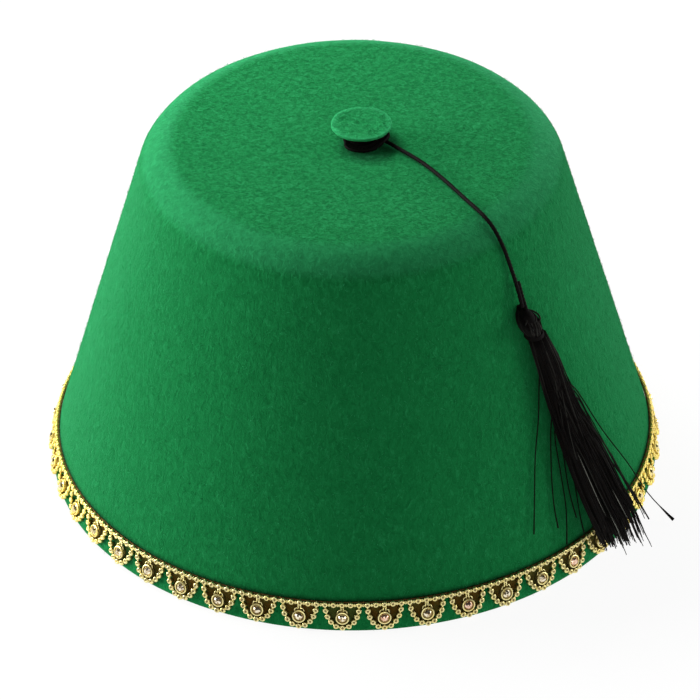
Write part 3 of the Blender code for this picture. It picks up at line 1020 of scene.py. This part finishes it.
def twisted(name, path, diameter, twist_length):
    """A cord of three strands twisted together, as one closed tube with rounded ends along the path."""
    sides = 15
    strands = 3
    last = len(path) - 1
    rings = []
    along = 0.0
    side = direction_at(path, 0).orthogonal()
    for i, point in enumerate(path):
        run = direction_at(path, i)
        along += (point - path[max(i - 1, 0)]).length
        side = (side - run * side.dot(run)).normalized()
        rounding = 0.55 + 0.45 * math.sqrt(min(i, last - i, 3) / 3)
        radii = []
        for corner in range(sides):
            lobe = math.cos(math.tau * strands * (corner / sides - along / twist_length))
            radii.append(diameter / 2 * (0.90 + 0.10 * lobe) * rounding)
        rings.append(ring_at(point, run, side, radii))
    item = skinned(name, [rings])
    set_attribute(item, "tone", [0.0] * sides * len(rings))
    return item


def winding_path():
    """Turns round the stem from the top one down, and off it to where the free cord starts."""
    radius = STEM_RADIUS + GAP + CORD_DIAMETER / 2
    low = CROWN_HEIGHT + GAP + CORD_DIAMETER / 2
    points = []
    for share in shares(WINDING_STEPS):
        turn = WINDING_LEAVES_AT + WINDING_TURNS * math.tau * (1 - share)
        height = low + CORD_DIAMETER * (1 - held((share - WINDING_FALL_AT) / WINDING_FALL))
        points.append(Vector((BUTTON_OFFSET + radius * math.cos(turn), radius * math.sin(turn), height)))
    start, onwards = [Vector(point) * MM for point in CORD_ROUTE_MM[:2]]
    return points + [start, start.lerp(onwards, 0.3)]


class FEZ_OT_cord(bpy.types.Operator):
    """Models the twisted cord: its turns round the stem, and its run to the tassel"""

    bl_idname = "fez.cord"
    bl_label = "Cord"

    def execute(self, context):
        cord = context.scene.fez_cord
        material = black_thread("black_cord", cord, 3.0)
        winding = twisted("stem_winding", winding_path(), CORD_DIAMETER, cord.twist_length)
        # The slack turns are partly a painted shadow under the button
        slack = twisted("slack_turns", cord_route(LOOSE_TURNS_MM), CORD_DIAMETER, cord.twist_length)
        winding = joined("stem_winding", [winding, slack])
        finished(winding, material, "cord", "cord_winding")
        path = cord_route(CORD_ROUTE_MM)
        run = twisted("hanging_cord", path, CORD_DIAMETER, cord.twist_length)
        finished(run, material, "cord", "tassel_cord")
        return {"FINISHED"}


# Tassel

def head_place(down, angle, off):
    """A point on or in the tassel's head, by the share of the way down it and its polar place."""
    _, lean, width, depth = row_at(HEAD_SECTIONS, down)
    half_width = width * HEAD_WIDTH / 2
    half_depth = depth * HEAD_DEPTH / 2
    return tassel_place(down * HEAD_LENGTH, lean, half_width, half_depth, 0.0, angle, off)


def skirt_place(down, angle, off):
    """A point in the tassel's skirt, by the share of the way down it and its polar place."""
    _, lean, width, depth, out = row_at(SKIRT_SECTIONS, down)
    past = max(0.0, down - 1.0)
    length_down = HEAD_LENGTH + down * SKIRT_LENGTH
    half_width = width * SKIRT_WIDTH / 2 * (1 + past)
    half_depth = depth * SKIRT_DEPTH / 2
    return tassel_place(length_down, lean + past * 0.3, half_width, half_depth, out + past * 3, angle, off)


def tassel_place(length_down, lean, half_width, half_depth, out, angle, off):
    """A point of the section at a length down the tassel. out moves the section off, over the trim."""
    azimuth = TASSEL_AZIMUTH + TASSEL_LEAN * lean
    height = TASSEL_TOP - length_down
    lift = GAP + half_depth * (1 + off * math.sin(angle)) + TRIM_STAND * out
    across = half_width * off * math.cos(angle)
    lift = max(lift, least_lift(height))
    return on_wall(azimuth, height, lift) + wall_sideways(azimuth) * across


def least_lift(height):
    """How far off the wall a thread has to be: over the felt, or over the trim."""
    return THREAD_LIFT + TRIM_STAND * held((OVER_TRIM_FROM - height) / OVER_TRIM_RISE)


def head_core():
    """A thick thread that fills the head."""
    downs = (0.03, 0.12, 0.25, 0.38, 0.52, 0.66, 0.78, 0.90, 0.99)
    points = [head_place(down, 0.0, 0.0) for down in downs]
    radii = [row_at(HEAD_SECTIONS, down)[2] * HEAD_WIDTH / 2 * 0.86 for down in downs]
    return points, radii, 0.0


def head_threads(width, rng):
    """Threads that are gathered at the neck and folded over at the top of the head."""
    threads = []
    for i in range(HEAD_THREADS):
        angle = math.tau * (i + rng.uniform(-0.4, 0.4)) / HEAD_THREADS
        drift = rng.uniform(-0.9, 0.9)
        off = rng.uniform(0.86, 1.08)
        points = []
        for share in shares(9):
            down = 1.0 - share * 0.97
            points.append(head_place(down, angle + drift * (1 - down), off))
        radii = [width / 2 * 1.3] * len(points)
        threads.append((points, radii, rng.random() ** 6 * 0.1))
    return threads


def head_loops(width):
    """A few slack loops of thread that stand out of the head's top."""
    threads = []
    for angle, reach, spread, down in HEAD_LOOPS:
        points = []
        for share in shares(8):
            past_middle = share - 0.5
            off = 0.9 + (reach - 0.9) * math.sin(share * math.pi)
            points.append(head_place(down + past_middle * 0.25, angle + spread * past_middle * 2, off))
        threads.append((points, [width * 0.8] * len(points), 0.05))
    return threads


def neck_binding(width):
    """Turns of thread round the neck."""
    turns = 4
    points = []
    for share in shares(turns * 20):
        down = 0.90 + 0.12 * share
        points.append(head_place(min(down, 0.99), turns * math.tau * share, 1.1))
        points[-1].z -= max(0.0, down - 0.99) * HEAD_LENGTH
    return [(points, [width * 0.75] * len(points), 0.0)]


def in_disc(rng, reach):
    """A random point within that distance of the middle."""
    angle = rng.uniform(0.0, math.tau)
    off = reach * math.sqrt(rng.random())
    return Vector((off * math.cos(angle), off * math.sin(angle)))


def skirt_locks(thread_count, rng):
    """Locks of the skirt as (middle, end, spread, flare, threads): body locks and loose wisps past them."""
    locks = []
    for _ in range(LOCKS):
        middle = in_disc(rng, 1.0)
        end = rng.uniform(0.80, 0.97) - 0.10 * max(0.0, middle.x)
        count = thread_count * LOCK_THREADS_SHARE / LOCKS
        locks.append((middle, end, rng.uniform(0.10, 0.20), in_disc(rng, 0.22), round(count)))
    for _ in range(WISPS):
        middle = Vector((rng.uniform(-0.5, 1.1), rng.uniform(-0.6, 0.9)))
        flare = Vector((rng.uniform(-0.15, 0.5), rng.uniform(-0.2, 0.3)))
        count = thread_count * (1 - LOCK_THREADS_SHARE) / WISPS
        locks.append((middle, rng.uniform(0.88, 1.04), 0.04, flare, round(count)))
    return locks


def skirt_threads(cord, rng):
    """Threads that leave the neck evenly, gather into locks, and fray to uneven ends."""
    threads = []
    for middle, lock_end, spread, flare, count in skirt_locks(cord.thread_count, rng):
        for _ in range(count):
            start = in_disc(rng, 1.0)
            goal = middle + in_disc(rng, spread)
            end = lock_end + rng.uniform(-0.05, 0.04)
            wave = rng.uniform(0.0, math.tau)
            points = []
            for part in shares(THREAD_STEPS):
                down = end * part
                share = held(down / GATHERED_BY)
                gathered = share * share * (3 - 2 * share)
                spot = start.lerp(goal, gathered) + flare * max(0.0, down - FLARE_FROM) ** 1.6 * 2.2
                spot += Vector((math.sin(wave + 6 * down), math.cos(wave + 5 * down))) * 0.03 * down
                point = skirt_place(down, math.atan2(spot.y, spot.x), spot.length)
                point.z = max(point.z, 0.5 * MM)
                points.append(point)
            radii = [cord.thread_width / 2] * THREAD_STEPS + [cord.thread_width * 0.4]
            threads.append((points, radii, rng.random() ** 8 * 0.12))
    return threads


def skirt_core():
    """A thick thread that fills the upper part of the skirt."""
    points, radii = [], []
    for share in shares(11):
        down = SKIRT_CORE_LENGTH * share
        narrowed = 0.66 - 0.40 * share ** 2
        points.append(skirt_place(down, 0.0, 0.0))
        radii.append(row_at(SKIRT_SECTIONS, down)[3] * SKIRT_DEPTH / 2 * narrowed)
    return points, radii, 0.0


def placed_thread(row, width, tip):
    """A thread out of the skirt and through the row's points. tip is how many times wider its end is."""
    azimuth, up, _ = row[0]
    down = (TASSEL_TOP - HEAD_LENGTH - up * MM) / SKIRT_LENGTH
    middle = TASSEL_AZIMUTH + TASSEL_LEAN * row_at(SKIRT_SECTIONS, down)[1]
    angle = 0.0 if math.radians(azimuth) > middle else math.pi
    points = [skirt_place(down - 0.22, angle, 0.3), skirt_place(down - 0.11, angle, 0.7)]
    points += [on_wall(math.radians(azimuth), up * MM, lift * MM) for azimuth, up, lift in row]
    path = smooth_path(points, 2.5 * MM)
    radii = [width / 2] * len(path)
    for i in range(3):
        radii[-1 - i] = width / 2 * (1 + (tip - 1) * (3 - i) / 3)
    return path, radii, 0.0


def bright_thread(row, width):
    """A thread on the face of the skirt, fine at both its ends."""
    angle, start, end = row
    points = [skirt_place(start + (end - start) * share, angle, 1.04) for share in shares(8)]
    radii = [width / 2 * math.sin(math.pi * (share + 0.05) / 1.1) for share in shares(8)]
    # Painted highlight: a grey tone
    return points, radii, 0.8


def tail_path():
    """The cut end of the cord, from inside the head to above it."""
    aside = wall_sideways(TASSEL_AZIMUTH) * TAIL_ASIDE
    foot = on_wall(TASSEL_AZIMUTH, TASSEL_TOP - HEAD_LENGTH / 4, GAP + HEAD_DEPTH / 2) + aside / 2
    middle = on_wall(TASSEL_AZIMUTH, TASSEL_TOP + TAIL_LENGTH / 3, GAP + HEAD_DEPTH / 4) + aside
    top = on_wall(TASSEL_AZIMUTH, TASSEL_TOP + TAIL_LENGTH, GAP + CORD_DIAMETER) + aside
    return smooth_path([foot, middle, top], CORD_STEP)


class FEZ_OT_tassel(bpy.types.Operator):
    """Models the tassel: its head, neck binding, cut cord end, and threads"""

    bl_idname = "fez.tassel"
    bl_label = "Tassel"

    def execute(self, context):
        cord = context.scene.fez_cord
        rng = random.Random(THREAD_SEED)
        material = black_thread("black_thread", cord, 2.0)
        width = cord.thread_width
        head = threaded("tassel_head", [head_core()], 20)
        hair = threaded("head_threads", head_threads(width, rng) + head_loops(width) + neck_binding(width), 5)
        tail = twisted("cord_tail", tail_path(), CORD_DIAMETER, cord.twist_length)
        head = joined("tassel_head", [head, hair, tail])
        finished(head, material, "cord", "tassel")
        skirt = skirt_threads(cord, rng)
        skirt.append(skirt_core())
        skirt += [placed_thread(row, width * 1.4, 1.2) for row in STRAY_THREADS]
        skirt += [bright_thread(row, width * 0.7) for row in BRIGHT_THREADS]
        skirt.append(placed_thread(CLUMPED_THREAD, width * 1.2, 3.0))
        threads = threaded("tassel_threads", skirt, 4)
        finished(threads, material, "cord", "tassel")
        return {"FINISHED"}


# Trim

def hollowed(item, deep):
    """Marks the vertices whose places pass the test as a hollow, where brown painted shade darkens the metal.
    """
    set_attribute(item, "hollow", [0.85 if deep(vert.co) else 0.0 for vert in item.data.vertices])
    return item


def bead(radius, depth, sides):
    """A bead with a dimple in its outer end."""
    item = added("bead", bpy.ops.mesh.primitive_cylinder_add, vertices=sides, radius=radius, depth=depth)
    with editing(item):
        pick("EDGE", in_upper_half)
        bpy.ops.mesh.bevel(offset=radius * 0.38, segments=2, profile=0.5, affect="EDGES")
        pick("FACE", flat_top)
        bpy.ops.mesh.inset(thickness=radius * 0.30, depth=-radius * 0.30)
    bpy.ops.object.shade_smooth()
    return hollowed(item, lambda place: place.z > 0.0 and place.xy.length < radius * 0.36)


def setting():
    """A round cup with a raised edge, a groove and a seat for the stone."""
    item = added(
        "setting",
        bpy.ops.mesh.primitive_cylinder_add,
        vertices=18,
        radius=SETTING_RADIUS,
        depth=TRIM_THICKNESS,
    )
    with editing(item):
        pick("EDGE", in_upper_half)
        bpy.ops.mesh.bevel(offset=0.22 * MM, segments=2, profile=0.5, affect="EDGES")
        pick("FACE", flat_top)
        bpy.ops.mesh.inset(thickness=0.16 * MM)
        bpy.ops.mesh.inset(thickness=0.14 * MM, depth=-0.30 * MM)
        bpy.ops.mesh.inset(thickness=0.10 * MM)
    bpy.ops.object.shade_smooth_by_angle(angle=math.radians(40))
    return hollowed(item, lambda place: 0.3 * MM < place.z < TRIM_THICKNESS / 2 - 0.2 * MM)


def stone():
    """A stone with a table, a ring of main facets, and facets between them."""
    base = TRIM_THICKNESS / 2 - 0.30 * MM
    depth = STONE_HEIGHT + 0.10 * MM
    item = added(
        "stone",
        bpy.ops.mesh.primitive_cone_add,
        vertices=8,
        radius1=STONE_RADIUS,
        radius2=STONE_RADIUS * 0.52,
        depth=depth,
        location=(0.0, 0.0, base + depth / 2),
    )
    with editing(item):
        pick("FACE", lambda face: len(face.verts) == 4)
        bpy.ops.mesh.poke(offset=0.09 * MM)
    bpy.ops.object.shade_flat()
    return item


def flat_wire(rows, radius, hollow=0.0):
    """A wire through (across, up, out) rows of the flat trim."""
    sides = 5
    path = smooth_path([Vector(row) for row in rows], 1.0 * MM)
    rings = []
    for i, point in enumerate(path):
        run = direction_at(path, i)
        side = run.cross(UP).normalized()
        rings.append(ring_at(point, run, side, [radius] * sides))
    item = skinned("wire", [rings])
    set_attribute(item, "hollow", [hollow] * sides * len(rings))
    return item


def swag_places():
    """Where the beads of a swag go, evenly spaced along its half ellipse, and its wire's points."""
    curve = []
    for share in shares(400):
        angle = math.pi * share
        across = SWAG_WIDTH / 2 * math.cos(angle)
        curve.append(Vector((across, TOP_LINE_UP - SWAG_DEPTH * math.sin(angle), 0.0)))
    lengths = [0.0]
    for before, after in zip(curve, curve[1:]):
        lengths.append(lengths[-1] + (after - before).length)
    places = []
    for share in shares(SWAG_BEADS + 1):
        wanted = lengths[-1] * share
        nearest = min(range(len(curve)), key=lambda k: abs(lengths[k] - wanted))
        places.append(curve[nearest])
    return places


def setting_wires():
    """The two stems that hold a setting to the top line, and the hook beside each."""
    wires = []
    top = TOP_LINE_UP - 0.5 * MM
    foot = SETTING_UP + 1.9 * MM
    for way in (-1.0, 1.0):
        stem = [(way * SETTING_STEM_ASIDE, up, SETTING_STEM_OUT) for up in (top, foot)]
        hook = [(way * across * MM, up * MM, HOOK_OUT) for across, up in HOOK_MM]
        wires += [flat_wire(stem, SETTING_STEM_RADIUS), flat_wire(hook, HOOK_RADIUS)]
    return wires


def trim_unit(trim):
    """One repeat of the trim laid flat: (its metal, its stone)."""
    big = bead(trim.bead_radius, BEAD_DEPTH, 8)
    small = bead(trim.link_radius, LINK_DEPTH, 6)
    swag = swag_places()
    metal = [copied(big, Matrix.Translation(place)) for place in swag[1:-1]]
    step = SWAG_WIDTH / (TOP_LINE_BEADS - 1)
    for i in range(TOP_LINE_BEADS):
        across = i * step - SWAG_WIDTH / 2
        metal.append(copied(big, Matrix.Translation((across, TOP_LINE_UP, 0.0))))
        metal.append(copied(small, Matrix.Translation((across + step / 2, TOP_LINE_UP, 0.0))))
    metal.append(flat_wire(swag, trim.wire_radius))
    line = [(-PITCH / 2, TOP_LINE_UP, 0.0), (0.0, TOP_LINE_UP, 0.0), (PITCH / 2, TOP_LINE_UP, 0.0)]
    metal.append(flat_wire(line, trim.wire_radius))
    # Painted shadow: a dark cord behind the top line, where its shadow falls on the felt
    shadow_cord = [(across, up + SHADOW_CORD_UP, -SHADOW_CORD_IN) for across, up, _ in line]
    metal.append(flat_wire(shadow_cord, trim.shadow_cord_radius, 1.0))
    metal += setting_wires()
    centre = Matrix.Translation((0.0, SETTING_UP, 0.0))
    cup = setting()
    metal.append(copied(cup, centre))
    gem = stone()
    jewel = copied(gem, centre)
    for item in (big, small, cup, gem):
        bpy.data.objects.remove(item)
    return joined("trim_unit", metal), jewel


def wrapped(point, azimuth):
    """A point of the flat trim bent round the wall: Y runs up along the wall from the cut rim."""
    turned_by = azimuth + point.x / PITCH * math.tau / SWAG_COUNT
    off_wall = 0.1 * MM + TRIM_THICKNESS / 2 + point.z
    return on_wall(turned_by, point.y * math.cos(TAPER), 0.0) + wall_outwards(turned_by) * off_wall


def repeated(unit, name, moved):
    """The unit once for each swag. moved gives the flat place of a vertex in a numbered swag."""
    copies = []
    for number in range(SWAG_COUNT):
        azimuth = FIRST_SWAG_AZIMUTH + math.tau * number / SWAG_COUNT
        twin = copied(unit, Matrix.Identity(4))
        for vert in twin.data.vertices:
            vert.co = wrapped(moved(number, vert.co), azimuth)
        copies.append(twin)
    bpy.data.objects.remove(unit)
    return joined(name, copies)


class FEZ_OT_trim(bpy.types.Operator):
    """Models the gilt trim: beads in swags, settings on their stems, and cut stones"""

    bl_idname = "fez.trim"
    bl_label = "Trim"

    def execute(self, context):
        trim = context.scene.fez_trim
        rng = random.Random(TRIM_SEED)
        slips = []
        for _ in range(SWAG_COUNT):
            slips.append((rng.uniform(-0.22, 0.22), rng.uniform(-0.25, 0.15), rng.uniform(-0.5, 0.5)))

        def moved(number, place):
            aside, fall, _ = slips[number]
            bowl = math.sin(held((TOP_LINE_UP - place.y) / SWAG_DEPTH) * math.pi / 2) * MM
            return Vector((place.x + aside * bowl, place.y + fall * bowl, place.z))

        metal, jewel = trim_unit(trim)
        gilt = repeated(metal, "gilt_trim", moved)
        finished(gilt, gilt_metal(trim), "gilt", "gold_trim")

        def turned(number, place):
            centre = Vector((0.0, SETTING_UP, 0.0))
            spun = centre + Matrix.Rotation(slips[number][2], 3, "Z") @ (place - centre)
            return moved(number, spun)

        stones = repeated(jewel, "cut_stones", turned)
        facets = len(stones.data.polygons)
        # Painted glint: a random tone for each facet
        set_attribute(stones, "glint", [rng.random() for _ in range(facets)], "FACE")
        chosen = {number for number in range(SWAG_COUNT) if rng.random() < ROSY_SHARE} | {1}
        marks = [float(i * SWAG_COUNT // facets in chosen) for i in range(facets)]
        set_attribute(stones, "rosy", marks, "FACE")
        finished(stones, cut_stone(trim), "rhinestone", "gold_trim")
        return {"FINISHED"}


# Stage

def add_camera(context):
    forward = Vector((0.0, math.cos(CAMERA_TILT), -math.sin(CAMERA_TILT)))
    level = Vector((1.0, 0.0, 0.0))
    upright = level.cross(forward)
    across = level * math.cos(CAMERA_ROLL) + upright * math.sin(CAMERA_ROLL)
    up = upright * math.cos(CAMERA_ROLL) - level * math.sin(CAMERA_ROLL)
    place = Matrix((across, up, -forward)).transposed().to_4x4()
    place.translation = CAMERA_AIM - forward * CAMERA_DISTANCE
    bpy.ops.object.camera_add()
    camera = context.object
    camera.name = "camera"
    camera.matrix_world = place
    camera.data.sensor_width = SENSOR_WIDTH
    camera.data.lens = CAMERA_LENS
    camera.data.clip_start = 0.05
    camera.data.clip_end = 20.0
    context.scene.camera = camera


def add_softbox(name, place, size, power):
    """A square light that faces the middle of the hat, and is not seen itself. Only gloss shows the card."""
    bpy.ops.object.light_add(type="AREA", location=place)
    light = bpy.context.object
    light.name = name
    light.data.energy = power
    light.data.size = size
    light.visible_camera = False
    away = Vector(place) - UP * (CROWN_HEIGHT / 2)
    light.rotation_euler = away.to_track_quat("Z", "Y").to_euler()
    light.visible_diffuse = name != "card"


def pale_sky(stage):
    """A backdrop that is seen white, and lights the hat only a little."""
    world = bpy.data.worlds.new("pale_sky")
    world.use_nodes = True
    nodes, links = world.node_tree.nodes, world.node_tree.links
    seen = nodes.new("ShaderNodeLightPath").outputs["Is Camera Ray"]
    strength = nodes.new("ShaderNodeMapRange")
    strength.inputs["To Min"].default_value = stage.sky
    strength.inputs["To Max"].default_value = 1.0
    links.new(seen, strength.inputs["Value"])
    links.new(strength.outputs["Result"], nodes["Background"].inputs["Strength"])
    nodes["Background"].inputs["Color"].default_value = (1.0, 1.0, 1.0, 1.0)
    return world


class FEZ_OT_stage(bpy.types.Operator):
    """Sets the camera, the pale floor and the soft lights"""

    bl_idname = "fez.stage"
    bl_label = "Stage"

    def execute(self, context):
        stage = context.scene.fez_stage
        floor = added("floor", bpy.ops.mesh.primitive_plane_add, size=12.0)
        floor.data.materials.append(pale_floor(stage))
        for name, place, size in LIGHTS:
            add_softbox(name, place, size, getattr(stage, name))
        context.scene.world = pale_sky(stage)
        context.scene.view_settings.view_transform = "Standard"
        add_camera(context)
        return {"FINISHED"}


class FEZ_PT_pieces(bpy.types.Panel):
    """Lists the pieces of the hat with their settings"""

    bl_label = "Fez"
    bl_space_type = "VIEW_3D"
    bl_region_type = "UI"
    bl_category = "Fez"

    def draw(self, context):
        for operator in OPERATORS:
            self.layout.operator(operator.bl_idname)
        for name, group in SETTINGS.items():
            box = self.layout.box()
            for setting in group.__annotations__:
                box.prop(getattr(context.scene, name), setting)


OPERATORS = (
    FEZ_OT_stage,
    FEZ_OT_tassel,
    FEZ_OT_cord,
    FEZ_OT_crown,
    FEZ_OT_button,
    FEZ_OT_fuzz,
    FEZ_OT_trim,
)
SETTINGS = {"fez_felt": FezFelt, "fez_cord": FezCord, "fez_trim": FezTrim, "fez_stage": FezStage}


def register():
    for name, group in SETTINGS.items():
        bpy.utils.register_class(group)
        setattr(bpy.types.Scene, name, bpy.props.PointerProperty(type=group))
    for operator in OPERATORS:
        bpy.utils.register_class(operator)
    bpy.utils.register_class(FEZ_PT_pieces)


def unregister():
    bpy.utils.unregister_class(FEZ_PT_pieces)
    for operator in reversed(OPERATORS):
        bpy.utils.unregister_class(operator)
    for name, group in SETTINGS.items():
        delattr(bpy.types.Scene, name)
        bpy.utils.unregister_class(group)


def main():
    register()
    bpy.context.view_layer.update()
    bpy.ops.fez.stage()
    bpy.ops.fez.tassel()
    bpy.ops.fez.cord()
    bpy.ops.fez.crown()
    bpy.ops.fez.button()
    bpy.ops.fez.fuzz()
    bpy.ops.fez.trim()


if __name__ == "__main__":
    main()
